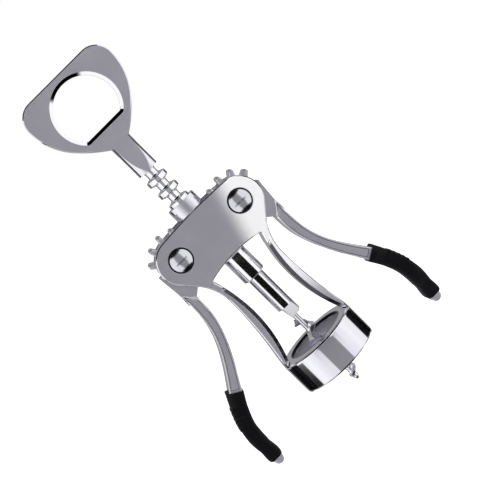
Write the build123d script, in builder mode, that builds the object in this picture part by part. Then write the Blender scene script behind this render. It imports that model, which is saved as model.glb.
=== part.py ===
from build123d import *
from math import atan, cos, degrees, radians, sin, tan
import os

# Winged (double lever) corkscrew with a bottle-opener handle, in millimetres.
# +Z runs up the tool's axis towards the handle, the front plate faces -Y, and the origin is the
# centre of the bell's bottom rim. It is built with the levers a little out from the legs.

# bell that sits over the bottle's mouth
bell_radius = 20.3
bell_shoulder_radius = 1.3
bell_foot_radius = 0.8
bell_height = 16.3
bell_bore_radius = 17.4
bell_lip_thickness = 1.7
bell_mouth_radius = 14.5
liner_wall = 1.7
liner_hole_radius = 6.2

# frame: two plates joined by the legs, the top collar and the lower guide
plate_front = 7.7
plate_inner = 5.8
plate_top_z = 96.6
slot_floor_z = 66.8
pivot_x = 18.6
pivot_z = 84.7
ear_radius = 11.2
ear_side_angle = -40.0
neck_x = 22.13
leg_outer_x = 16.15
leg_outer_z = 55.0
leg_foot_x = bell_radius - 0.1
leg_bevel_width = 1.8
leg_bevel_depth = 2.0
leg_bevel_top_z = 63.0
leg_inner_x = 11.65
leg_inner_z = 45.2
window_top_x = 15.6
window_top_z = 68.0
window_crown_z = 69.9
window_foot_x = 17.5
collar_radius = 7.46
collar_top_z = 102.8
guide_radius = 7.4
guide_bottom_z = 69.3
guide_top_z = 73.3

# rack and pinions
tooth_pitch = 7.0
tooth_angle_step = 28.8
pitch_radius = tooth_pitch / radians(tooth_angle_step)
pressure_angle = 20.0
tooth_root_thickness = 3.0
tooth_thickness = 2.6
tooth_round_radius = 13.1
pinion_tip_radius = 14.4
pinion_root_radius = 10.8
hub_half_width = 5.35
mesh_offset = 1.0
rack_tip_radius = 5.45
rack_root_radius = 2.9
rack_tooth_thickness = 3.2
rack_tooth_count = 7
rack_bottom_z = 72.15
rack_top_z = 122.05
slide_clearance = 0.1
running_clearance = 0.05

# spindle that turns inside the rack
rod_radius = 1.75
rod_bottom_z = 50.0
rod_top_z = 134.0
washer_thickness = 0.6
washer_radius = 3.1
barrel_radius = 5.9
barrel_bottom_z = 55.4
barrel_top_z = 72.1
socket_radius = 4.2
socket_bottom_z = 29.6
socket_step_z = 35.6
spigot_radius = 3.2
spigot_top_z = 61.4
worm_core_radius = 1.35
worm_radius = 4.2
worm_pitch = 9.3
worm_tip_z = -13.9
worm_top_z = 45.0

# handle with the crown-cap opener
neck_radius = 5.4
neck_bottom_z = 122.7
neck_top_z = 140.2
blade_half_thickness = 2.2
handle_top_z = 180.2
blade_foot_z = 147.0
handle_half_width = 25.5
handle_corner_radius = 9.0
opener_z = 160.9
opener_radius = 14.75
opener_lip_z = 150.1
opener_bevel = 1.5
handle_pin_radius = 0.9
handle_pin_z = 127.5

# pivots
pin_radius = 2.6
pin_head_radius = 5.1
pin_head_height = 2.2
head_seat_radius = 5.9
head_seat_depth = 0.4
washer_gap = 0.03

# levers and grips
shoulder_half_width = 7.0
arm_end_half_width = 4.2
grip_half_width = 6.3


pivot_axis = Axis((pivot_x, 0, pivot_z), (0, 1, 0))

# ---------------------------------------------------------------- frame
# The outline of one side runs round the ear, down the neck and down the outside of the leg.
leg_bevel_angle = degrees(atan(leg_bevel_width / leg_bevel_depth))
leg_bevel_top_x = 15.6
ear_end = (
    pivot_x + ear_radius * cos(radians(ear_side_angle)),
    pivot_z + ear_radius * sin(radians(ear_side_angle)),
)
neck_z = ear_end[1] - (ear_end[0] - neck_x) / tan(radians(-ear_side_angle))
with BuildPart() as frame:
    with BuildSketch(Plane.XZ) as silhouette:
        with BuildLine() as right_side:
            top = TangentArc((0, plate_top_z), (pivot_x, pivot_z + ear_radius), tangent=(1, 0))
            ear = ThreePointArc(top @ 1, (pivot_x + ear_radius, pivot_z), ear_end)
            neck = Line(ear @ 1, (neck_x, neck_z))
            hip = TangentArc(neck @ 1, (leg_outer_x, leg_outer_z), tangent=neck % 1)
            shin = TangentArc(hip @ 1, (leg_foot_x, bell_height), tangent=(0, -1))
            foot = Line(shin @ 1, (leg_foot_x, 0))
            Line(foot @ 1, (0, 0))
            Line((0, 0), top @ 0)
        make_face()
        mirror(about=Plane.YZ)
        with BuildLine():
            window_top = ThreePointArc(
                (-window_top_x, window_top_z), (0, window_crown_z), (window_top_x, window_top_z)
            )
            ThreePointArc(
                window_top @ 1, (leg_inner_x, leg_inner_z), (window_foot_x, bell_height)
            )
            Line((window_foot_x, bell_height), (-window_foot_x, bell_height))
            ThreePointArc(
                (-window_foot_x, bell_height), (-leg_inner_x, leg_inner_z), window_top @ 0
            )
        make_face(mode=Mode.SUBTRACT)
        window_corners = silhouette.vertices().filter_by(lambda v: abs(v.Y - window_top_z) < 0.01)
        fillet(window_corners, 1.2)
    extrude(amount=plate_front, both=True)
    # below the legs only their outer straps stay, which the bell then joins
    with Locations((0, 0, bell_height / 2)):
        Box(2 * window_foot_x, 4 * plate_front, bell_height, mode=Mode.SUBTRACT)
    # slot between the plates, where the lever hubs turn
    slot_height = plate_top_z - slot_floor_z + 5
    with Locations((0, 0, slot_floor_z + slot_height / 2)):
        Box(80, 2 * plate_inner, slot_height, mode=Mode.SUBTRACT)
    rims = frame.faces().filter_by(Axis.Y).group_by(Axis.Y)
    chamfer(rims[0].edges() + rims[-1].edges(), 0.5)
    # the legs' inner edges are bevelled wide on both faces
    for side in (-1, 1):
        with BuildSketch(Plane.XZ.offset(side * plate_front)):
            with BuildLine():
                bevel_left = ThreePointArc(
                    (-leg_bevel_top_x, leg_bevel_top_z),
                    (-leg_inner_x - leg_bevel_width, leg_inner_z),
                    (-window_foot_x - leg_bevel_width, bell_height),
                )
                Line(bevel_left @ 1, (window_foot_x + leg_bevel_width, bell_height))
                bevel_right = ThreePointArc(
                    (window_foot_x + leg_bevel_width, bell_height),
                    (leg_inner_x + leg_bevel_width, leg_inner_z),
                    (leg_bevel_top_x, leg_bevel_top_z),
                )
                Line(bevel_right @ 1, bevel_left @ 0)
            make_face()
        extrude(amount=-side * leg_bevel_depth, taper=leg_bevel_angle, mode=Mode.SUBTRACT)
    # near the bell the legs are turned down to the bell's own roundness
    with BuildSketch(Plane.XZ):
        with BuildLine():
            Polyline(
                (0, 0),
                (leg_foot_x, 0),
                (leg_foot_x, bell_height + 2),
                (leg_foot_x + 4.5, bell_height + 26),
                (60, bell_height + 60),
                (60, plate_top_z + 20),
                (0, plate_top_z + 20),
                close=True,
            )
        make_face()
    revolve(axis=Axis.Z, mode=Mode.INTERSECT)
    # collar and lower guide that hold the rack on the axis
    with BuildSketch(Plane.XY.offset(pivot_z + 10.9)):
        Circle(collar_radius)
    extrude(amount=collar_top_z - pivot_z - 10.9)
    with BuildSketch(Plane.XY.offset(guide_bottom_z)):
        Circle(guide_radius)
    extrude(amount=guide_top_z - guide_bottom_z)
    # bell, with rounded rims
    with BuildSketch(Plane.XZ):
        with BuildLine():
            Polyline(
                (bell_bore_radius, 0),
                (bell_radius - bell_foot_radius, 0),
                (bell_radius, bell_foot_radius),
                (bell_radius, bell_height - bell_shoulder_radius),
            )
            shoulder_arc = RadiusArc(
                (bell_radius, bell_height - bell_shoulder_radius),
                (bell_radius - bell_shoulder_radius, bell_height),
                -bell_shoulder_radius,
            )
            Polyline(
                shoulder_arc @ 1,
                (bell_mouth_radius, bell_height),
                (bell_mouth_radius, bell_height - bell_lip_thickness),
                (bell_bore_radius, bell_height - bell_lip_thickness),
                (bell_bore_radius, 0),
            )
        make_face()
    revolve(axis=Axis.Z)
    # rack bores: the collar guides the rack's teeth, the lower guide its barrel
    with Locations((0, 0, plate_top_z)):
        Cylinder(rack_tip_radius + slide_clearance, 30, mode=Mode.SUBTRACT)
    with Locations((0, 0, guide_bottom_z)):
        Cylinder(barrel_radius + slide_clearance, 16, mode=Mode.SUBTRACT)
    # pivot holes, with a shallow seat for each domed head
    for side in (-1, 1):
        with Locations(Location((side * pivot_x, 0, pivot_z), (90, 0, 0))):
            Cylinder(pin_radius, 40, mode=Mode.SUBTRACT)
        for face in (-1, 1):
            seat_y = face * (plate_front - head_seat_depth / 2)
            with Locations(Location((side * pivot_x, seat_y, pivot_z), (90, 0, 0))):
                Cylinder(head_seat_radius, head_seat_depth, mode=Mode.SUBTRACT)

# ---------------------------------------------------------------- bottle guide inside the bell
liner_top_z = bell_height - bell_lip_thickness
with BuildPart() as bell_liner:
    with BuildSketch(Plane.XZ):
        with BuildLine():
            Polyline(
                (bell_bore_radius, 0.8),
                (bell_bore_radius, liner_top_z),
                (liner_hole_radius, liner_top_z),
                (liner_hole_radius, liner_top_z - liner_wall),
                (bell_bore_radius - liner_wall, liner_top_z - liner_wall),
                (bell_bore_radius - liner_wall, 2.2),
                (bell_bore_radius - 0.8, 0.8),
                close=True,
            )
        make_face()
    revolve(axis=Axis.Z)

# ---------------------------------------------------------------- rack
rack_teeth = []
for k in range(rack_tooth_count):
    rack_teeth.append(pivot_z + mesh_offset - 1.5 * tooth_pitch + k * tooth_pitch)
pitch_line_radius = pivot_x - pitch_radius
flank = tan(radians(pressure_angle))
half_at_tip = rack_tooth_thickness / 2 - (rack_tip_radius - pitch_line_radius) * flank
half_at_root = rack_tooth_thickness / 2 + (pitch_line_radius - rack_root_radius) * flank
with BuildPart() as rack:
    with BuildSketch(Plane.XZ):
        with Locations((rack_root_radius / 2, (rack_bottom_z + rack_top_z) / 2)):
            Rectangle(rack_root_radius, rack_top_z - rack_bottom_z)
        with BuildSketch(Plane.XZ, mode=Mode.PRIVATE) as tooth_section:
            with BuildLine():
                Polyline(
                    (rack_root_radius - 0.5, -half_at_root),
                    (rack_root_radius, -half_at_root),
                    (rack_tip_radius, -half_at_tip),
                    (rack_tip_radius, half_at_tip),
                    (rack_root_radius, half_at_root),
                    (rack_root_radius - 0.5, half_at_root),
                    close=True,
                )
            make_face()
        for z in rack_teeth:
            add(Pos(0, 0, z) * tooth_section.sketch)
    revolve(axis=Axis.Z)
    tip_faces = rack.faces().filter_by(GeomType.CYLINDER)
    tip_faces = tip_faces.filter_by(lambda f: abs(f.radius - rack_tip_radius) < 0.01)
    fillet(tip_faces.edges(), 0.7)
    with Locations((0, 0, (rack_bottom_z + rack_top_z) / 2)):
        Cylinder(rod_radius + running_clearance, 80, mode=Mode.SUBTRACT)

# ---------------------------------------------------------------- pinion and lever outline
first_tooth_angle = degrees(mesh_offset / pitch_radius) - tooth_angle_step
with BuildSketch(Plane.XY) as pinion_tooth:
    with BuildLine():
        tip = ThreePointArc(
            (tooth_round_radius, -tooth_thickness / 2),
            (pinion_tip_radius, 0),
            (tooth_round_radius, tooth_thickness / 2),
        )
        Polyline(
            tip @ 1,
            (pinion_root_radius - 1, tooth_root_thickness / 2),
            (pinion_root_radius - 1, -tooth_root_thickness / 2),
            tip @ 0,
        )
    make_face()

with BuildPart() as right_lever:
    # gear sector and hub, thin enough to turn between the plates
    with BuildSketch(Plane.XZ) as hub_outline:
        with Locations((pivot_x, pivot_z)):
            Circle(pinion_root_radius)
        for k in range(7):
            # angles are counted from the rack's side, over the top, to the outside
            turn = 180 - (first_tooth_angle + k * tooth_angle_step)
            with Locations(Location((pivot_x, pivot_z, 0), turn)):
                add(pinion_tooth.sketch)
        with BuildLine():
            Polyline(
                (pivot_x, pivot_z),
                (pivot_x + 12.6, pivot_z + 0.4),
                (30.3, 74.7),
                (30.05, 67.3),
                (25.0, 68.1),
                (19.6, 72.5),
                close=True,
            )
        make_face()
    extrude(amount=hub_half_width, both=True)
    # arm: curved in the plane of the levers and tapering in width down to the nub at its end
    with BuildSketch(Plane.XZ) as arm_outline:
        with BuildLine():
            shoulder = ThreePointArc((25.0, 67.3), (28.1, 71.0), (30.3, 74.7))
            outer = Spline(
                shoulder @ 1, (30.05, 66.8), (31.9, 51.8), (40.5, 34.5), (46.0, 26.7),
                tangents=[(-0.1, -1), (0.6, -0.8)],
            )
            outer_core = Spline(
                outer @ 1, (53.0, 12.0), (54.3, -6.0), tangents=[(0.6, -0.8), (-0.05, -1)]
            )
            outer_end = Line(outer_core @ 1, (54.1, -10.9))
            nub = ThreePointArc(outer_end @ 1, (51.5, -13.3), (49.0, -10.9))
            inner_end = Line(nub @ 1, (49.2, -6.0))
            inner_core = Spline(
                inner_end @ 1, (48.6, 8.6), (41.2, 23.2), tangents=[(0, 1), (-0.5, 0.86)]
            )
            Spline(
                inner_core @ 1, (32.0, 39.3), (26.1, 54.9), shoulder @ 0,
                tangents=[(-0.5, 0.86), (0, 1)],
            )
        make_face()
    extrude(amount=shoulder_half_width, both=True)
    with BuildSketch(Plane.YZ) as arm_width:
        with BuildLine():
            Polyline(
                (hub_half_width, 110),
                (hub_half_width, 75.5),
                (shoulder_half_width, 75.4),
                (shoulder_half_width, 62),
                (5.2, 26),
                (arm_end_half_width, 10),
                (arm_end_half_width, -20),
                (0, -20),
                (0, 110),
                close=True,
            )
        make_face()
        mirror(about=Plane.YZ)
    extrude(amount=80, both=True, mode=Mode.INTERSECT)
    shoulder_edges = right_lever.edges().filter_by(GeomType.CIRCLE)
    chamfer(shoulder_edges.filter_by(lambda e: abs(abs(e.center().Y) - shoulder_half_width) < 0.01), 0.6)
    with Locations(Location((pivot_x, 0, pivot_z), (90, 0, 0))):
        Cylinder(pin_radius + running_clearance, 40, mode=Mode.SUBTRACT)

# ---------------------------------------------------------------- right grip
with BuildPart() as right_grip:
    with BuildSketch(Plane.XZ):
        with BuildLine():
            grip_outer = Spline(
                (46.75, 26.6), (54.3, 11.6), (55.9, 0.5), (55.5, -8.0),
                tangents=[(0.6, -0.8), (-0.05, -1)],
            )
            grip_end = ThreePointArc(grip_outer @ 1, (51.8, -10.2), (48.0, -8.0))
            grip_inner = Spline(
                grip_end @ 1, (48.2, 0.5), (47.3, 8.4), (40.9, 22.8),
                tangents=[(0, 1), (-0.5, 0.86)],
            )
            Line(grip_inner @ 1, grip_outer @ 0)
        make_face()
    extrude(amount=grip_half_width, both=True)
    long_edges = right_grip.edges().filter_by(lambda e: abs(abs(e.center().Y) - grip_half_width) < 0.01)
    fillet(long_edges, 2.0)
    add(right_lever.part, mode=Mode.SUBTRACT)

# ---------------------------------------------------------------- pivot pins and their rear caps
head_seat_y = plate_front - head_seat_depth
head_top_y = head_seat_y + pin_head_height
head_rim_y = head_seat_y + 0.6
pin_end_y = head_seat_y + 1.0
with BuildPart() as right_pivot_pin:
    with BuildSketch(Plane.XY.offset(pivot_z)):
        with BuildLine():
            pin_dome = TangentArc(
                (pivot_x, -head_top_y), (pivot_x + pin_head_radius, -head_rim_y), tangent=(1, 0)
            )
            Polyline(
                pin_dome @ 1,
                (pivot_x + pin_head_radius, -head_seat_y),
                (pivot_x + pin_radius, -head_seat_y),
                (pivot_x + pin_radius, pin_end_y),
                (pivot_x, pin_end_y),
                pin_dome @ 0,
            )
        make_face()
    revolve(axis=pivot_axis)
with BuildPart() as right_pivot_cap:
    with BuildSketch(Plane.XY.offset(pivot_z)):
        with BuildLine():
            cap_dome = TangentArc(
                (pivot_x, head_top_y), (pivot_x + pin_head_radius, head_rim_y), tangent=(1, 0)
            )
            Polyline(
                cap_dome @ 1,
                (pivot_x + pin_head_radius, head_seat_y),
                (pivot_x + pin_radius, head_seat_y),
                (pivot_x + pin_radius, pin_end_y),
                (pivot_x, pin_end_y),
                cap_dome @ 0,
            )
        make_face()
    revolve(axis=pivot_axis)

# thin washers that take up the side play between each hub and the plates
with BuildPart() as right_hub_washers:
    for face in (-1, 1):
        middle_y = face * (hub_half_width + plate_inner) / 2
        thickness = plate_inner - hub_half_width - 2 * washer_gap
        with Locations(Location((pivot_x, middle_y, pivot_z), (90, 0, 0))):
            Cylinder(5.0, thickness)
            Cylinder(pin_radius + running_clearance, thickness, mode=Mode.SUBTRACT)

# ---------------------------------------------------------------- handle
with BuildPart() as handle:
    with BuildSketch(Plane.XZ):
        with BuildLine():
            corner_x = handle_half_width - handle_corner_radius
            edge = Line((0, handle_top_z), (corner_x, handle_top_z))
            corner = RadiusArc(
                edge @ 1, (handle_half_width, handle_top_z - handle_corner_radius), handle_corner_radius
            )
            flank_arc = TangentArc(corner @ 1, (17.6, 150.8), tangent=(0, -1))
            throat = TangentArc(flank_arc @ 1, (neck_radius - 0.1, neck_top_z), tangent=flank_arc % 1)
            Polyline(throat @ 1, (0, neck_top_z), edge @ 0)
        make_face()
        mirror(about=Plane.YZ)
    extrude(amount=neck_radius, both=True)
    with BuildSketch(Plane.XY.offset(neck_bottom_z)):
        Circle(neck_radius)
    extrude(amount=neck_top_z - neck_bottom_z)
    # seen from the side, the round neck is dressed down into the flat blade
    with BuildSketch(Plane.YZ):
        with BuildLine():
            Line((neck_radius, neck_bottom_z), (neck_radius, 123.4))
            dressed = ThreePointArc((neck_radius, 123.4), (4.29, 128.7), (3.43, 134.5))
            Polyline(
                dressed @ 1,
                (3.1, neck_top_z),
                (blade_half_thickness, blade_foot_z),
                (blade_half_thickness, handle_top_z),
                (0, handle_top_z),
                (0, neck_bottom_z),
                (neck_radius, neck_bottom_z),
            )
        make_face()
        mirror(about=Plane.YZ)
    extrude(amount=handle_half_width + 1, both=True, mode=Mode.INTERSECT)
    blade_rims = handle.edges().filter_by(lambda e: abs(abs(e.center().Y) - blade_half_thickness) < 0.01)
    chamfer(blade_rims.filter_by(lambda e: e.center().Z > blade_foot_z + 0.1), 0.5)
    # opener hole with a flat lip, bevelled from both faces
    with BuildSketch(Plane.XZ) as opener:
        with Locations((0, opener_z)):
            Circle(opener_radius)
        with Locations((0, opener_lip_z)):
            Rectangle(60, 30, align=(Align.CENTER, Align.MAX), mode=Mode.SUBTRACT)
        fillet(opener.vertices(), 1.2)
    extrude(amount=blade_half_thickness + 1, both=True, mode=Mode.SUBTRACT)
    hole_rim = handle.edges().filter_by(
        lambda e: abs(abs(e.center().Y) - blade_half_thickness) < 0.01
        and Vector(e.center().X, 0, e.center().Z - opener_z).length < opener_radius + 0.2
    )
    chamfer(hole_rim, opener_bevel)
    with Locations((0, 0, (rod_top_z + neck_bottom_z) / 2)):
        Cylinder(rod_radius, rod_top_z - neck_bottom_z, mode=Mode.SUBTRACT)
    with Locations(Location((0, 0, handle_pin_z), (0, 90, 0))):
        Cylinder(handle_pin_radius, 20, mode=Mode.SUBTRACT)

# ---------------------------------------------------------------- spindle pieces
with BuildPart() as handle_pin:
    with Locations(Location((0, 0, handle_pin_z), (0, 90, 0))):
        Cylinder(handle_pin_radius, 2 * neck_radius - 0.3)
with BuildPart() as spindle_rod:
    with Locations((0, 0, (rod_top_z + rod_bottom_z) / 2)):
        Cylinder(rod_radius, rod_top_z - rod_bottom_z)
    add(handle_pin.part, mode=Mode.SUBTRACT)
with BuildPart() as thrust_washer:
    with Locations((0, 0, neck_bottom_z - washer_thickness / 2)):
        Cylinder(washer_radius, washer_thickness)
        Cylinder(rod_radius, washer_thickness, mode=Mode.SUBTRACT)
with BuildPart() as stop_barrel:
    with BuildSketch(Plane.XZ):
        with BuildLine():
            Polyline(
                (rod_radius, barrel_top_z),
                (barrel_radius - 0.4, barrel_top_z),
                (barrel_radius, barrel_top_z - 0.4),
                (barrel_radius, barrel_bottom_z + 0.5),
                (barrel_radius - 0.5, barrel_bottom_z),
                (spigot_radius, barrel_bottom_z),
                (spigot_radius, spigot_top_z),
                (rod_radius, spigot_top_z),
                close=True,
            )
        make_face()
    revolve(axis=Axis.Z)
with BuildPart() as worm_socket:
    with BuildSketch(Plane.XZ):
        with BuildLine():
            Polyline(
                (0, spigot_top_z),
                (spigot_radius, spigot_top_z),
                (spigot_radius, barrel_bottom_z),
                (socket_radius, barrel_bottom_z),
                (socket_radius, socket_bottom_z + 1.2),
                (socket_radius - 1.2, socket_bottom_z),
                (0, socket_bottom_z),
                close=True,
            )
        make_face()
    revolve(axis=Axis.Z)
    # the last few millimetres are milled to a flat tang that steps in on one side
    tang_height = socket_step_z - socket_bottom_z
    tang_slope = 10
    with BuildSketch(Plane.XY.offset(socket_bottom_z)):
        with Locations((-1.8, 0)):
            Rectangle(10, 20, align=(Align.MAX, Align.CENTER))
        for side in (-1, 1):
            with Locations((0, side * 2.0)):
                align_y = Align.MIN if side > 0 else Align.MAX
                Rectangle(20, 10, align=(Align.CENTER, align_y))
    extrude(amount=tang_height, taper=tang_slope, mode=Mode.SUBTRACT)
    add(spindle_rod.part, mode=Mode.SUBTRACT)
    with Locations((0, 0, (worm_top_z + socket_bottom_z) / 2)):
        Cylinder(worm_core_radius, worm_top_z - socket_bottom_z, mode=Mode.SUBTRACT)

# ---------------------------------------------------------------- worm: a core with a sharp helical blade
blade_bottom_z = worm_tip_z - 1.0
blade_height = socket_bottom_z - 2.2 - blade_bottom_z
# the blade stands out to +X at this height, which sets the helix's start angle
blade_right_z = 21.3
start_angle = 360 * (blade_bottom_z - blade_right_z) / worm_pitch
start_direction = (cos(radians(start_angle)), sin(radians(start_angle)), 0)
blade_reach = worm_radius - worm_core_radius + 0.3
with BuildPart() as worm:
    with BuildLine(Plane.XY.rotated((0, 0, start_angle))):
        helix = Helix(worm_pitch, blade_height, worm_core_radius - 0.3, center=(0, 0, blade_bottom_z))
    with BuildSketch(Plane(helix @ 0, x_dir=start_direction, z_dir=helix % 0)):
        with BuildLine():
            Polyline((0, -1.5), (blade_reach, -0.15), (blade_reach, 0.15), (0, 1.0), close=True)
        make_face()
    sweep(path=helix, is_frenet=True)
    with BuildSketch(Plane.XY.offset(worm_tip_z + 1.5)):
        Circle(worm_core_radius)
    extrude(amount=worm_top_z - worm_tip_z - 1.5)
    # the point: everything tapers inside a pointed envelope
    with BuildSketch(Plane.XZ):
        with BuildLine():
            Polyline(
                (0, worm_tip_z),
                (1.7, worm_tip_z + 3.6),
                (3.5, worm_tip_z + 7.2),
                (worm_radius + 0.2, worm_tip_z + 11),
                (worm_radius + 0.2, worm_top_z + 1),
                (0, worm_top_z + 1),
                close=True,
            )
        make_face()
    revolve(axis=Axis.Z, mode=Mode.INTERSECT)

# ---------------------------------------------------------------- write one STEP per piece
pieces = {
    "frame": frame.part,
    "bell_liner": bell_liner.part,
    "rack": rack.part,
    "handle": handle.part,
    "handle_pin": handle_pin.part,
    "spindle_rod": spindle_rod.part,
    "thrust_washer": thrust_washer.part,
    "stop_barrel": stop_barrel.part,
    "worm_socket": worm_socket.part,
    "worm": worm.part,
}
two_sided = {
    "lever": right_lever.part,
    "grip": right_grip.part,
    "pivot_pin": right_pivot_pin.part,
    "pivot_cap": right_pivot_cap.part,
    "hub_washers": right_hub_washers.part,
}
for name, shape in two_sided.items():
    pieces["right_" + name] = shape
    pieces["left_" + name] = mirror(shape, about=Plane.YZ)

os.makedirs("parts", exist_ok=True)
for name, shape in pieces.items():
    shape.label = name
    export_step(shape, f"parts/{name}.step")
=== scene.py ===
import math

import bmesh
import bpy
from mathutils import Matrix, Vector


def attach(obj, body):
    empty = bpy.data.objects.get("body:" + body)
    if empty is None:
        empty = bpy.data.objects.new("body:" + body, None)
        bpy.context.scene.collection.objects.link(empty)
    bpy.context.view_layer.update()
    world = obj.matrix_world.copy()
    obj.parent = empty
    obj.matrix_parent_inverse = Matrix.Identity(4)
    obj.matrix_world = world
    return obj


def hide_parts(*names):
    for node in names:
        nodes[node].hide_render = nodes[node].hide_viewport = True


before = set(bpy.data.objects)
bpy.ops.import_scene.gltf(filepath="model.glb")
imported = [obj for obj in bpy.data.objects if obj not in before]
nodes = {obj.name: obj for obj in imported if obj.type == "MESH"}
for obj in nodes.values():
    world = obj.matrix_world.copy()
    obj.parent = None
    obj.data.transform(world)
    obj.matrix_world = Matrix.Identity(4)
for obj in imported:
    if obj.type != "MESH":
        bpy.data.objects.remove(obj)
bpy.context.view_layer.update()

mm = 0.001


# a socket that does arithmetic, so that a pattern reads as one expression
class Wire:
    def __init__(self, tree, socket=None):
        self.tree = tree
        self.socket = socket

    def node(self, kind, settings=None, values=None, out=0):
        made = self.tree.nodes.new(kind)
        for name, value in (settings or {}).items():
            setattr(made, name, value)
        for name, value in (values or {}).items():
            self.plug(made.inputs[name], value)
        return Wire(self.tree, made.outputs[out])

    def plug(self, socket, value):
        if isinstance(value, Wire):
            self.tree.links.new(value.socket, socket)
        else:
            socket.default_value = value

    def maths(self, operation, first, second=0.0):
        return self.node("ShaderNodeMath", {"operation": operation}, {0: first, 1: second})

    def __add__(self, other):
        return self.maths("ADD", self, other)

    def __radd__(self, other):
        return self.maths("ADD", other, self)

    def __sub__(self, other):
        return self.maths("SUBTRACT", self, other)

    def __rsub__(self, other):
        return self.maths("SUBTRACT", other, self)

    def __mul__(self, other):
        return self.maths("MULTIPLY", self, other)

    def __rmul__(self, other):
        return self.maths("MULTIPLY", other, self)

    def __pow__(self, other):
        return self.maths("POWER", self, other)


def startTree(owner):
    owner.use_nodes = True
    return Wire(owner.node_tree)


def smoothStep(value, low, high):
    ends = {"Value": value, "From Min": low, "From Max": high}
    return value.node("ShaderNodeMapRange", {"interpolation_type": "SMOOTHSTEP"}, ends)


def between(value, low, high, soft):
    rise = smoothStep(value, low - soft, low + soft)
    return rise * (1.0 - smoothStep(value, high - soft, high + soft))


def mixColors(wire, factor, first, second):
    return wire.node("ShaderNodeMix", {"data_type": "RGBA"}, {0: factor, 6: first, 7: second}, 2)


def noise(wire, scale, detail=2.0, stretch=(1.0, 1.0, 1.0)):
    place = wire.node("ShaderNodeTexCoord", out=3)
    spread = wire.node("ShaderNodeMapping", {}, {"Vector": place, "Scale": stretch})
    return wire.node("ShaderNodeTexNoise", {}, {"Vector": spread, "Scale": scale, "Detail": detail})


def axes(wire, vector):
    x = wire.node("ShaderNodeSeparateXYZ", {}, {0: vector})
    outputs = x.socket.node.outputs
    return x, Wire(wire.tree, outputs[1]), Wire(wire.tree, outputs[2])


def bumped(wire, height, edge=0.0, samples=6):
    values = {"Strength": 1.0, "Distance": 1.0, "Height": height}
    if edge:
        values["Normal"] = wire.node("ShaderNodeBevel", {"samples": samples}, {"Radius": edge})
    return wire.node("ShaderNodeBump", {}, values)


def finishSurface(wire, values):
    principled = wire.tree.nodes["Principled BSDF"]
    for name, value in values.items():
        wire.plug(principled.inputs[name], value)


def rgb(red, green, blue):
    return (red, green, blue, 1.0)


print("finishes")

satin = {
    "light": rgb(0.74, 0.73, 0.81),
    "dark": rgb(0.66, 0.65, 0.73),
    "rubbed": rgb(0.90, 0.90, 0.94),
    "rubbedShare": 0.7,
    "rubbedFlat": 0.85,
    "edgeLean": (0.78, 0.96),
    "roughness": 0.30,
    "cloudScale": 90.0,
    "cloudRoughness": 0.06,
    "grainScale": 3600.0,
    "grainRoughness": 0.12,
    "grain": 0.000045,
    "edge": 0.25 * mm,
    "crown": 17.0,
    "crownLean": (0.965, -0.264),
    "crownShift": 16.0 * mm,
    "crownReach": 11 * mm,
    # painted highlight: the plate whitened towards its right
    "rightHighlight": rgb(0.98, 0.98, 1.0),
    "rightHighlightFrom": 1.0 * mm,
    "rightHighlightTo": 8.0 * mm,
    "crownFrom": 20 * mm,
    "crownTo": 50 * mm,
    "seatX": 18.6 * mm,
    "seatZ": 84.7 * mm,
    "seatRims": (4.9 * mm, 5.85 * mm),
    "mouthRims": (14.0 * mm, 15.0 * mm),
    "mouthHeights": (15.0 * mm, 17.0 * mm),
    # painted shade in the pivot seats and round the bell's mouth
    "paintedShade": rgb(0.02, 0.02, 0.025),
    "worn": 0.10,
    "wornClouds": 0.08,
    # painted shade on the legs' inner bevels
    "legShadeSpan": (19 * mm, 62 * mm),
    "legShadow": rgb(0.04, 0.04, 0.05),
    "legShare": 0.95,
    "legLean": (0.30, 0.90),
    "legFacing": (0.30, 0.50),
    "bellTop": 16.4 * mm,
    "bellRoughness": 0.055,
    "bellClouds": 0.05,
    "bellFlat": 0.93,
}


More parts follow.
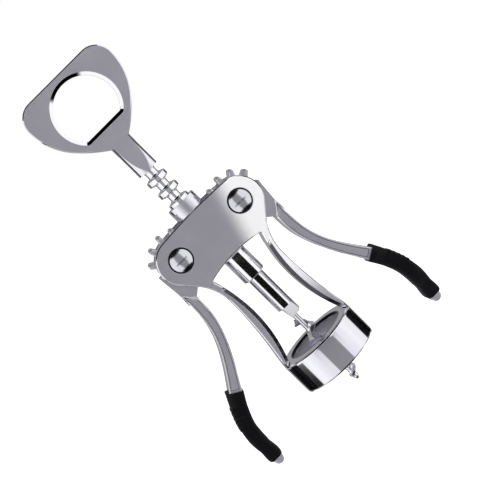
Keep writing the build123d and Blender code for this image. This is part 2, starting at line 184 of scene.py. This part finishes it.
def satinChrome(s, name, kind="plain"):
    wire = startTree(bpy.data.materials.new(name))
    cloud = noise(wire, s["cloudScale"], 3.0)
    grain = noise(wire, s["grainScale"], 3.0)
    height = grain * s["grain"]
    metal = mixColors(wire, cloud, s["dark"], s["light"])
    # rims and edges are rubbed brighter than the flat faces
    leans = axes(wire, wire.node("ShaderNodeNewGeometry", out=1))
    worn = 1.0 - smoothStep(wire.maths("ABSOLUTE", leans[1]), *s["edgeLean"])
    roughness = s["roughness"] + s["cloudRoughness"] * cloud + s["grainRoughness"] * grain
    roughness = roughness * (1.0 - worn) + (s["worn"] + s["wornClouds"] * cloud) * worn
    height = height * (1.0 - s["rubbedFlat"] * worn)
    metal = mixColors(wire, s["rubbedShare"] * worn, metal, s["rubbed"])
    x, y, z = axes(wire, wire.node("ShaderNodeTexCoord", out=3))
    if kind == "handle":
        # painted shade: the opener's bevel is painted dark where it faces up or down
        fromHole = (x ** 2.0 + (z - s["holeZ"]) ** 2.0) ** 0.5
        steep = smoothStep(wire.maths("ABSOLUTE", leans[2]), *s["holeSteep"])
        bevel = worn * (1.0 - smoothStep(fromHole, s["holeReach"] - 0.1 * mm, s["holeReach"]))
        dimmed = steep * bevel
        metal = mixColors(wire, dimmed, metal, s["holeShade"])
        height = height - bevel * (fromHole - s["holeReach"]) * s["holeLean"]
    if kind == "frame":
        bell = 1.0 - smoothStep(z, s["bellTop"], s["bellTop"] + 0.2 * mm)
        plate = smoothStep(z, s["crownFrom"], s["crownTo"])
        roughness = roughness * (1.0 - bell) + (s["bellRoughness"] + s["bellClouds"] * cloud) * bell
        # painted shade: a dark ring painted in the sunk seats round the pivot heads, and a dark
        # line painted round the bell's mouth
        across, along = wire.maths("ABSOLUTE", x) - s["seatX"], z - s["seatZ"]
        reach = (across ** 2.0 + along ** 2.0) ** 0.5
        seat = between(reach, *s["seatRims"], 0.05 * mm)
        mouthReach = (x ** 2.0 + y ** 2.0) ** 0.5
        mouth = between(mouthReach, *s["mouthRims"], 0.08 * mm)
        mouth = mouth * between(z, *s["mouthHeights"], 0.1 * mm)
        paintedShade = wire.maths("MAXIMUM", seat, mouth)
        metal = mixColors(wire, paintedShade, metal, s["paintedShade"])
        # painted shade: the legs' inner bevels are painted dark where they face the axis, standing
        # in for the dark gap they reflect
        facesIn = 0.0 - leans[0] * wire.maths("SIGN", x)
        bevelled = between(wire.maths("ABSOLUTE", leans[1]), *s["legLean"], 0.05)
        legs = between(z, *s["legShadeSpan"], 1.5 * mm)
        inner = smoothStep(facesIn, *s["legFacing"]) * bevelled * legs
        metal = mixColors(wire, s["legShare"] * inner, metal, s["legShadow"])
        # painted highlight: the plate's colour is whitened towards its right, beside a crowned bump
        # that leans it there
        toRight = x * s["crownLean"][0] + z * s["crownLean"][1] + s["crownShift"]
        toRight = wire.maths("MAXIMUM", toRight, 0.0)
        curved = wire.maths("MINIMUM", toRight, s["crownReach"])
        rightHighlight = smoothStep(toRight, s["rightHighlightFrom"], s["rightHighlightTo"]) * plate
        metal = mixColors(wire, rightHighlight * (1.0 - paintedShade) * (1.0 - inner), metal, s["rightHighlight"])
        crowned = curved * (2.0 * toRight - curved) * plate * s["crown"]
        height = height * (1.0 - s["bellFlat"] * bell) - crowned
    finishSurface(
        wire,
        {
            "Metallic": 1.0,
            "Base Color": metal,
            "Roughness": roughness,
            "Normal": bumped(wire, height, s["edge"]),
        },
    )
    return bpy.data.materials[name]


handleSatin = dict(
    satin,
    edge=0.10 * mm,
    worn=0.05,
    holeZ=160.9 * mm,
    holeReach=16.6 * mm,
    holeLean=0.3,
    holeSteep=(0.55, 0.62),
    # painted shade on the opener's bevel
    holeShade=rgb(0.015, 0.015, 0.018),
)

polished = {
    "clean": rgb(0.90, 0.90, 0.93),
    "dimmed": rgb(0.80, 0.80, 0.84),
    "roughness": 0.045,
    "smudgeScale": 160.0,
    "smudgeRoughness": 0.04,
    "hairlineScale": 3800.0,
    "hairlineRoughness": 0.02,
    "dents": 0.0000004,
    "edge": 0.15 * mm,
}
rivet = dict(
    polished,
    clean=rgb(0.74, 0.74, 0.79),
    dimmed=rgb(0.50, 0.50, 0.55),
    roughness=0.15,
    dents=0.000012,
)
socket = dict(polished, groundBelow=35.6 * mm, ground=0.35, groundLean=0.33)


def polishedChrome(s, name):
    wire = startTree(bpy.data.materials.new(name))
    smudge = noise(wire, s["smudgeScale"], 4.0)
    hairlines = noise(wire, s["hairlineScale"], 1.0, (1.0, 1.0, 0.05))
    roughness = s["roughness"] + s["smudgeRoughness"] * smoothStep(smudge, 0.5, 0.8)
    roughness = roughness + s["hairlineRoughness"] * hairlines
    height = hairlines * s["dents"]
    if "groundBelow" in s:
        # the tang was ground flat after plating, a little out of true
        x, y, z = axes(wire, wire.node("ShaderNodeTexCoord", out=3))
        tang = 1.0 - smoothStep(z, s["groundBelow"] - 0.1 * mm, s["groundBelow"])
        roughness = roughness + s["ground"] * tang
        height = height - x * tang * s["groundLean"]
    finishSurface(
        wire,
        {
            "Metallic": 1.0,
            "Base Color": mixColors(wire, smudge, s["dimmed"], s["clean"]),
            "Roughness": roughness,
            "Normal": bumped(wire, height, s["edge"]),
        },
    )
    return bpy.data.materials[name]


steel = {
    "light": rgb(0.84, 0.84, 0.87),
    "dark": rgb(0.70, 0.70, 0.74),
    "roughness": 0.12,
    "streakScale": 1500.0,
    "streakRoughness": 0.1,
    "streakDepth": 0.00001,
    "edge": 0.1 * mm,
}
worm = dict(steel, light=rgb(0.98, 0.98, 1.0), dark=rgb(0.88, 0.88, 0.91), roughness=0.22)
# near-black steel: painted shade for the walls of the sunk panels
grooveShade = dict(steel, light=rgb(0.09, 0.09, 0.10), dark=rgb(0.04, 0.04, 0.05), roughness=0.35)


def drawnSteel(s, name):
    wire = startTree(bpy.data.materials.new(name))
    streak = noise(wire, s["streakScale"], 3.0, (1.0, 1.0, 0.2))
    finishSurface(
        wire,
        {
            "Metallic": 1.0,
            "Base Color": mixColors(wire, streak, s["dark"], s["light"]),
            "Roughness": s["roughness"] + s["streakRoughness"] * streak,
            "Normal": bumped(wire, streak * s["streakDepth"], s["edge"], 4),
        },
    )
    return bpy.data.materials[name]


rubber = {
    "black": rgb(0.002, 0.002, 0.003),
    "worn": rgb(0.006, 0.006, 0.008),
    "roughness": 0.42,
    "cloudScale": 240.0,
    "cloudRoughness": 0.12,
    "cloudDepth": 0.00006,
    "pebbleScale": 1500.0,
    "pebble": 0.00012,
    "specular": 0.12,
}


def gripRubber(s, name):
    wire = startTree(bpy.data.materials.new(name))
    spread = {"Vector": wire.node("ShaderNodeTexCoord", out=3), "Scale": s["pebbleScale"]}
    pebble = wire.node("ShaderNodeTexVoronoi", {"feature": "SMOOTH_F1"}, spread)
    cloud = noise(wire, s["cloudScale"], 3.0)
    finishSurface(
        wire,
        {
            "Base Color": mixColors(wire, smoothStep(cloud, 0.45, 0.75), s["black"], s["worn"]),
            "Roughness": s["roughness"] + s["cloudRoughness"] * cloud,
            "Specular IOR Level": s["specular"],
            "Normal": bumped(wire, pebble * s["pebble"] + cloud * s["cloudDepth"]),
        },
    )
    return bpy.data.materials[name]


plastic = {
    "dark": rgb(0.42, 0.41, 0.48),
    "light": rgb(0.51, 0.50, 0.58),
    "roughness": 0.38,
    "cloudScale": 300.0,
    "cloudRoughness": 0.15,
    "grainScale": 4200.0,
    "grain": 0.00003,
}


def linerPlastic(s, name):
    wire = startTree(bpy.data.materials.new(name))
    cloud = noise(wire, s["cloudScale"], 4.0)
    grain = noise(wire, s["grainScale"], 2.0)
    finishSurface(
        wire,
        {
            "Base Color": mixColors(wire, cloud, s["dark"], s["light"]),
            "Roughness": s["roughness"] + s["cloudRoughness"] * cloud,
            "Normal": bumped(wire, grain * s["grain"]),
        },
    )
    return bpy.data.materials[name]


frameFinish = satinChrome(satin, "satin chrome frame", "frame")
castFinish = satinChrome(satin, "satin chrome")
handleFinish = satinChrome(handleSatin, "satin chrome handle", "handle")
shineFinish = polishedChrome(polished, "polished chrome")
rivetFinish = polishedChrome(rivet, "pressed rivet chrome")
socketFinish = polishedChrome(socket, "ground socket chrome")
steelFinish = drawnSteel(steel, "drawn steel")
wormFinish = drawnSteel(worm, "plated worm steel")
grooveShadeFinish = drawnSteel(grooveShade, "tarnished groove")
gripFinish = gripRubber(rubber, "grip rubber")
linerFinish = linerPlastic(plastic, "liner plastic")

finishOf = {
    "frame": frameFinish,
    "bell_liner": linerFinish,
    "handle": handleFinish,
    "handle_pin": steelFinish,
    "rack": shineFinish,
    "spindle_rod": steelFinish,
    "thrust_washer": steelFinish,
    "stop_barrel": shineFinish,
    "worm_socket": socketFinish,
    "worm": wormFinish,
}
for side in ("left", "right"):
    finishOf[side + "_lever"] = castFinish
    finishOf[side + "_grip"] = gripFinish
    finishOf[side + "_pivot_pin"] = rivetFinish
    finishOf[side + "_pivot_cap"] = rivetFinish
    finishOf[side + "_hub_washers"] = steelFinish
for name, finish in finishOf.items():
    for place in nodes[name].material_slots:
        place.material = finish

print("levers")

leverArm = {
    # outer and inner edge of the sunk panel, in millimetres in the plane of the levers
    "panel": [
        ((29.60, 72.5), (25.95, 67.5)),
        ((29.22, 66.6), (25.86, 64.2)),
        ((29.55, 60.1), (26.17, 59.4)),
        ((30.42, 54.3), (27.28, 53.6)),
        ((32.11, 48.5), (29.25, 47.6)),
        ((34.63, 42.8), (31.90, 41.5)),
        ((37.95, 37.0), (35.14, 35.2)),
        ((41.44, 31.6), (38.45, 29.5)),
        ((44.80, 27.0), (41.55, 24.7)),
    ],
    "flank": [(72.5, 7.0), (62.0, 7.0), (26.0, 5.2), (10.0, 4.2)],
    "sections": 44,
    "wall": 0.32 * mm,
    "sink": 0.32 * mm,
    "rim": 0.45 * mm,
    "toothRim": 0.60 * mm,
    "rimTop": 70 * mm,
    "rimFoot": 24 * mm,
    "nubTop": -8 * mm,
    "pivot": (18.6 * mm, 84.7 * mm),
    "teethFrom": 80 * mm,
    "teethRoot": 11.1 * mm,
    "armDepth": 5.0 * mm,
    "cutterHeight": 3.0 * mm,
    "flatAngle": 0.5,
    "rimAngle": 55.0,
    "flatFace": 0.98,
    "smoothAngle": 24.0,
}


def curvePoint(points, t):
    spans = len(points) - 1
    at = min(int(t * spans), spans - 1)
    u = t * spans - at
    before = points[max(at - 1, 0)]
    start, end = points[at], points[at + 1]
    after = points[min(at + 2, spans)]
    return 0.5 * (
        2 * start
        + (end - before) * u
        + (2 * before - 5 * start + 4 * end - after) * u**2
        + (3 * start - before - 3 * end + after) * u**3
    )


def keepPiece(bm, name, node, body, slot, finishes, smoothAngle):
    mesh = bpy.data.meshes.new(name)
    bm.to_mesh(mesh)
    bm.free()
    for face in mesh.polygons:
        face.use_smooth = True
    mesh.set_sharp_from_angle(angle=math.radians(smoothAngle))
    for finish in finishes:
        mesh.materials.append(finish)
    piece = bpy.data.objects.new(name, mesh)
    bpy.context.scene.collection.objects.link(piece)
    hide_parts(node)
    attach(piece, body)


def flankAt(a, z):
    for (highZ, highY), (lowZ, lowY) in zip(a["flank"], a["flank"][1:]):
        if z >= lowZ:
            return lowY + (highY - lowY) * min((z - lowZ) / (highZ - lowZ), 1.0)
    return a["flank"][-1][1]


# the blade that sinks the panels: a strip along the arm whose own walls carry painted shade, a
# near-black finish that paints the panel walls dark
def makePanelCutter(a, sign):
    outer = [Vector(pair[0]) for pair in a["panel"]]
    inner = [Vector(pair[1]) for pair in a["panel"]]
    bm = bmesh.new()
    bmesh.ops.create_grid(bm, x_segments=1, y_segments=a["sections"], size=1.0)
    for v in bm.verts:
        place = curvePoint(outer if v.co.x > 0 else inner, (v.co.y + 1) / 2)
        v.co = Vector((sign * place.x, 0.01 - flankAt(a, place.y), place.y)) * mm
    bed = bm.faces[:]
    raised = bmesh.ops.extrude_face_region(bm, geom=bed, use_keep_orig=True)["geom"]
    raised = [v for v in raised if isinstance(v, bmesh.types.BMVert)]
    bmesh.ops.translate(bm, verts=raised, vec=(0.0, -a["cutterHeight"], 0.0))
    bmesh.ops.recalc_face_normals(bm, faces=bm.faces)
    walls = bmesh.ops.inset_region(bm, faces=bed, thickness=a["wall"], depth=a["sink"])["faces"]
    # the panel walls take the near-black painted shade
    for wall in walls:
        wall.material_index = 1
    bmesh.ops.mirror(bm, geom=bm.verts[:] + bm.edges[:] + bm.faces[:], axis="Y", merge_dist=0.0)
    bmesh.ops.recalc_face_normals(bm, faces=bm.faces)
    mesh = bpy.data.meshes.new("panel_cutter")
    bm.to_mesh(mesh)
    bm.free()
    for finish in (castFinish, grooveShadeFinish):
        mesh.materials.append(finish)
    cutter = bpy.data.objects.new("panel_cutter", mesh)
    bpy.context.scene.collection.objects.link(cutter)
    return cutter


def makeLever(a, side):
    bm = bmesh.new()
    bm.from_mesh(nodes[side + "_lever"].data)
    bmesh.ops.remove_doubles(bm, verts=bm.verts, dist=0.001 * mm)
    flat = math.radians(a["flatAngle"])
    bmesh.ops.dissolve_limit(bm, angle_limit=flat, verts=bm.verts, edges=bm.edges)
    hub = Vector(((1 if side == "right" else -1) * a["pivot"][0], 0.0, a["pivot"][1]))

    def isRim(e, isTooth):
        faces = e.link_faces
        if len(faces) != 2 or e.calc_face_angle() < math.radians(a["rimAngle"]):
            return False
        if sorted(abs(f.normal.y) > a["flatFace"] for f in faces) != [False, True]:
            return False
        ends = [v.co for v in e.verts]
        arm = all(a["rimFoot"] < v.z < a["rimTop"] and abs(v.y) > a["armDepth"] for v in ends)
        middle = (ends[0] + ends[1]) / 2
        arm = arm or middle.z < a["nubTop"]
        fromHub = Vector((middle.x - hub.x, 0.0, middle.z - hub.z)).length
        tooth = middle.z > a["teethFrom"] and fromHub > a["teethRoot"]
        return tooth if isTooth else arm

    for isTooth, offset in ((True, a["toothRim"]), (False, a["rim"])):
        rims = [e for e in bm.edges if isRim(e, isTooth)]
        bmesh.ops.bevel(
            bm,
            geom=rims,
            offset=offset,
            offset_type="OFFSET",
            affect="EDGES",
            segments=3,
            profile=0.5,
            material=-1,
        )
    whole = bpy.data.meshes.new(side + "_arm_whole")
    bm.to_mesh(whole)
    for finish in (castFinish, grooveShadeFinish):
        whole.materials.append(finish)
    arm = bpy.data.objects.new(side + "_arm_whole", whole)
    bpy.context.scene.collection.objects.link(arm)
    cutter = makePanelCutter(a, 1 if side == "right" else -1)
    cut = arm.modifiers.new("panels", "BOOLEAN")
    cut.object = cutter
    cut.operation = "DIFFERENCE"
    cut.solver = "EXACT"
    bpy.context.view_layer.update()
    sunk = arm.evaluated_get(bpy.context.evaluated_depsgraph_get()).to_mesh()
    bm.clear()
    bm.from_mesh(sunk)
    bmesh.ops.remove_doubles(bm, verts=bm.verts, dist=0.002 * mm)
    print("  ", side, "lever", len(bm.faces), "faces")
    for spare in (arm, cutter):
        bpy.data.objects.remove(spare)
    lever = side + "_lever"
    finishes = (castFinish, grooveShadeFinish)
    keepPiece(bm, side + "_arm", lever, lever, "satin_chrome", finishes, a["smoothAngle"])


makeLever(leverArm, "right")
makeLever(leverArm, "left")

print("grips")

grip = {
    # outer and inner edge of the rubber, in millimetres in the plane of the levers
    "stations": [
        ((47.45, 27.3), (40.45, 22.9)),
        ((50.90, 20.3), (44.20, 16.4)),
        ((54.00, 12.4), (47.10, 9.4)),
        ((55.60, 4.6), (48.15, 3.4)),
        ((55.55, -2.6), (48.35, -2.6)),
        ((55.55, -10.3), (47.95, -10.3)),
    ],
    "halfDepth": 6.3,
    "square": 0.40,
    "sections": 190,
    "corners": 56,
    "ribs": 5,
    "ribStart": 0.20,
    "ribEnd": 0.47,
    "ribHeight": 0.62,
    "facetStart": 0.02,
    "facetEnd": 0.19,
    "facet": 0.30,
    "facetSoft": 0.02,
    "ribDepth": 0.45,
    "cuff": 0.02,
    "cuffTuck": 0.10,
    "endRound": 0.075,
    "endTuck": 0.45,
    "waistAt": 0.82,
    "waist": 0.07,
    "waistWidth": 0.05,
    "smoothAngle": 50.0,
}


def ribLift(g, t):
    across = (t - g["ribStart"]) / (g["ribEnd"] - g["ribStart"])
    if across < 0.0 or across > 1.0:
        return 0.0
    return g["ribHeight"] * (abs(math.sin(math.pi * g["ribs"] * across)) ** 0.7 - 0.35)


def window(value, low, high, soft):
    rise = min(max((value - low) / soft + 0.5, 0.0), 1.0)
    fall = min(max((high - value) / soft + 0.5, 0.0), 1.0)
    return rise * fall


def makeGrip(g, side):
    sign = 1 if side == "right" else -1
    outer = [Vector(pair[0]) for pair in g["stations"]]
    inner = [Vector(pair[1]) for pair in g["stations"]]
    bm = bmesh.new()
    last = None
    for k in range(g["sections"] + 1):
        t = k / g["sections"]
        a, b = curvePoint(outer, t), curvePoint(inner, t)
        middle, across = (a + b) / 2, (a - b) / 2
        halfWidth = across.length
        across.normalize()
        fromCuff = min(t / g["cuff"], 1.0)
        fromEnd = min((1.0 - t) / g["endRound"], 1.0)
        tuck = 1.0 - g["cuffTuck"] * (1.0 - math.sqrt(1.0 - (1.0 - fromCuff) ** 2))
        tuck -= g["endTuck"] * (1.0 - math.sqrt(1.0 - (1.0 - fromEnd) ** 2))
        waist = 1.0 - g["waist"] * math.exp(-(((t - g["waistAt"]) / g["waistWidth"]) ** 2))
        lift = ribLift(g, t)
        facet = g["facet"] * window(t, g["facetStart"], g["facetEnd"], g["facetSoft"])
        ring = bmesh.ops.create_circle(bm, segments=g["corners"], radius=1.0)["verts"]
        for v in ring:
            c, s = v.co.x, v.co.y
            power = g["square"] + (facet if c > 0 else 0.0)
            cx = math.copysign(abs(c) ** power, c)
            cy = math.copysign(abs(s) ** power, s)
            share = min(max((cx - 0.1) / 0.7, 0.0), 1.0)
            reach = halfWidth * tuck * waist * cx + lift * share * max(cx, 0.0)
            depth = (g["halfDepth"] * tuck + g["ribDepth"] * lift * share) * cy
            place = middle + across * reach
            v.co = Vector((sign * place.x, depth, place.y)) * mm
        loop = list({e for v in ring for e in v.link_edges})
        if last:
            bmesh.ops.bridge_loops(bm, edges=last + loop)
        last = loop
    bmesh.ops.holes_fill(bm, edges=[e for e in bm.edges if e.is_boundary], sides=0)
    bmesh.ops.recalc_face_normals(bm, faces=bm.faces)
    names = (side + "_rubber", side + "_grip", side + "_lever", "grip_rubber")
    keepPiece(bm, *names, (gripFinish,), g["smoothAngle"])


makeGrip(grip, "right")
makeGrip(grip, "left")

print("light and floor")

# grey in front with a dark band low in it, white panels at both sides,
# a paler grey beyond them with dark bands, and dark above and below
studio = {
    "core": 0.37,
    "panel": 1.00,
    "panelFront": 0.14,
    "panelFrontEnd": 84.0,
    "beyond": 0.45,
    "blackBand": (-16.4, -12.6),
    "outlineBand": (-13.0, 10.0),
    "outlineEnd": 131.0,
    "dark": 0.002,
    "band": 0.004,
    "behind": 0.34,
    "coreSides": (-25.0, 23.0),
    "lowCoreSides": (-22.0, 29.0),
    "panelEnd": 108.0,
    "lowPanelEnds": (-82.0, 100.0),
    "lowFrom": -13.0,
    "bandTop": -7.2,
    "bandHalf": 41.0,
    "ceiling": 40.0,
    "ground": -52.0,
    "behindFrom": 152.0,
    "skylight": 0.40,
    "skylightFrom": 104.0,
    "skyBand": (44.0, 68.0),
}


def lightStudio(s):
    world = bpy.data.worlds.new("studio")
    bpy.context.scene.world = world
    wire = startTree(world)
    x, y, z = axes(wire, wire.node("ShaderNodeTexCoord", out=0))
    around = wire.maths("ARCTAN2", x, 0.0 - y) * (180.0 / math.pi)
    aside = wire.maths("ABSOLUTE", around)
    height = wire.maths("ARCSINE", z) * (180.0 / math.pi)
    low = 1.0 - smoothStep(height, s["lowFrom"] - 0.5, s["lowFrom"] + 0.5)
    band = between(height, s["lowFrom"], s["bandTop"], 0.4) * (
        1.0 - smoothStep(aside, s["bandHalf"] - 1.0, s["bandHalf"] + 1.0)
    )
    core = between(around, *s["coreSides"], 3.0)
    lowCore = between(around, *s["lowCoreSides"], 1.0)
    lit = 1.0 - smoothStep(aside, s["panelEnd"] - 2.0, s["panelEnd"] + 2.0)
    lowLit = between(around, *s["lowPanelEnds"], 2.0)
    core = core * (1.0 - low) + lowCore * low
    lit = lit * (1.0 - low) + lowLit * low
    front = 1.0 - smoothStep(aside, s["panelFrontEnd"] - 20.0, s["panelFrontEnd"])
    wall = lit * (core * s["core"] + (1.0 - core) * (s["panel"] + s["panelFront"] * front))
    wall = wall * (1.0 - band) + band * s["band"]
    blackBand = between(height, *s["blackBand"], 0.4)
    outline = between(height, *s["outlineBand"], 0.5)
    outline = outline * (1.0 - smoothStep(aside, s["outlineEnd"] - 1.5, s["outlineEnd"] + 1.5))
    beyond = (1.0 - lit) * (1.0 - wire.maths("MAXIMUM", blackBand, outline))
    wall = wall + beyond * s["beyond"]
    far = smoothStep(aside, s["behindFrom"] - 2.0, s["behindFrom"] + 2.0)
    wall = wall * (1.0 - far) + far * s["behind"]
    inReach = between(height, s["ground"], s["ceiling"], 2.0)
    grey = wall * inReach + s["dark"]
    sky = smoothStep(aside, s["skylightFrom"], s["skylightFrom"] + 8.0)
    skyBand = between(wire.maths("ABSOLUTE", height), *s["skyBand"], 3.0)
    grey = grey + s["skylight"] * sky * skyBand
    seen = wire.node("ShaderNodeLightPath", out=0)
    shade = grey * (1.0 - seen) + seen
    color = wire.node("ShaderNodeCombineXYZ", {}, {0: shade, 1: shade, 2: shade})
    wire.plug(wire.tree.nodes["Background"].inputs["Color"], color)


lightStudio(studio)

floorPlan = {"height": -0.056, "size": 6.0}


def makeFloor(f):
    bm = bmesh.new()
    bmesh.ops.create_grid(bm, x_segments=1, y_segments=1, size=f["size"])
    bmesh.ops.translate(bm, verts=bm.verts, vec=(0.0, 0.0, f["height"]))
    mesh = bpy.data.meshes.new("floor")
    bm.to_mesh(mesh)
    bm.free()
    paint = startTree(bpy.data.materials.new("pale floor"))
    finishSurface(
        paint,
        {
            "Base Color": rgb(0.9, 0.9, 0.9),
            "Roughness": 0.9,
            "Emission Color": rgb(1.0, 1.0, 1.0),
            "Emission Strength": 1.0,
        },
    )
    mesh.materials.append(bpy.data.materials["pale floor"])
    floor = bpy.data.objects.new("floor", mesh)
    bpy.context.scene.collection.objects.link(floor)
    floor.visible_glossy = False


makeFloor(floorPlan)

print("camera")

standView = {
    "azimuth": -3.0,
    "elevation": 8.0,
    "distance": 0.600,
    "lens": 100.0,
    "aim": (0.0066, 0.0, 0.0713),
    "axisTurn": 45.2,
}


def placeCamera(v):
    a, e = math.radians(v["azimuth"]), math.radians(v["elevation"])
    back = Vector((math.sin(a) * math.cos(e), -math.cos(a) * math.cos(e), math.sin(e)))
    level = Vector((math.cos(a), math.sin(a), 0.0))
    rise = back.cross(level)
    t = math.radians(v["axisTurn"])
    right = level * math.cos(t) - rise * math.sin(t)
    up = level * math.sin(t) + rise * math.cos(t)
    data = bpy.data.cameras.new("camera")
    data.lens = v["lens"]
    data.clip_start = 0.01
    camera = bpy.data.objects.new("camera", data)
    bpy.context.scene.collection.objects.link(camera)
    turn = Matrix((right, up, back)).transposed().to_4x4()
    camera.matrix_world = Matrix.Translation(Vector(v["aim"]) + back * v["distance"]) @ turn
    bpy.context.scene.camera = camera


placeCamera(standView)
bpy.context.scene.view_settings.view_transform = "Standard"
